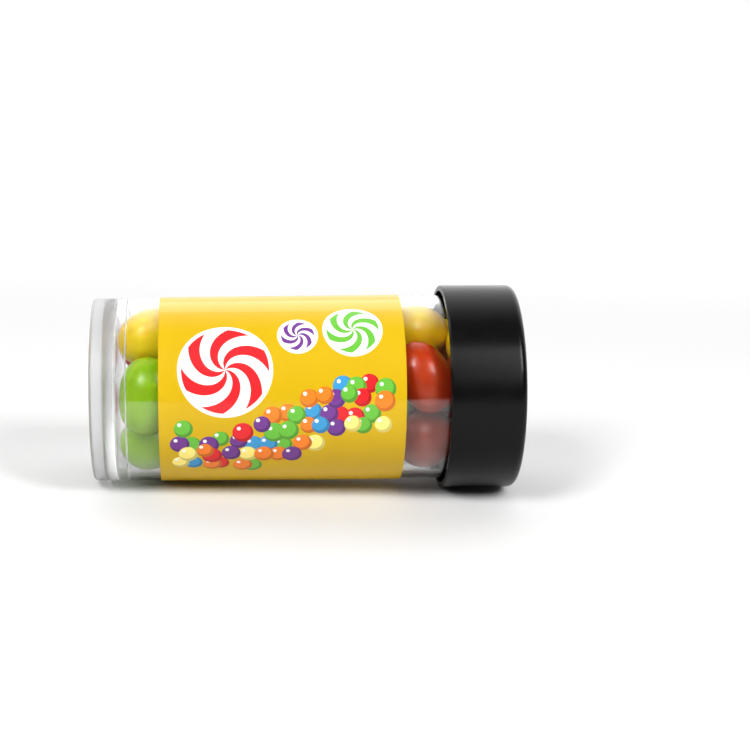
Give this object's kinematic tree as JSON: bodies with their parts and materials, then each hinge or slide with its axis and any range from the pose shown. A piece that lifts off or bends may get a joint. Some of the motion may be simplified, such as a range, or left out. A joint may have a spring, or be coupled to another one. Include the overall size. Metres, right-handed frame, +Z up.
{
  "type": "tube of jelly beans",
  "caption": "Clear round plastic tube filled with mixed jelly beans, with a black overhanging lid and a yellow printed wrap label, lying on its side.",
  "frame": {"origin": "on the ground under the middle of the bounding box", "axes": "+X along the tube from its foot to its lid, +Z up, -Y toward the pictured side"},
  "size_m": [0.1036, 0.0498, 0.0502],
  "materials": {
    "clear_plastic": "clear moulded polystyrene, polished",
    "black_plastic": "moulded black, satin gloss",
    "label_print": "yellow print under a gloss varnish",
    "sugar_shell": "polished sugar shell in mixed colours"
  },
  "bodies": {
    "root": {"tube": "clear_plastic", "lid": "black_plastic", "label": "label_print", "jelly_beans": "sugar_shell"}
  },
  "joints": []
}
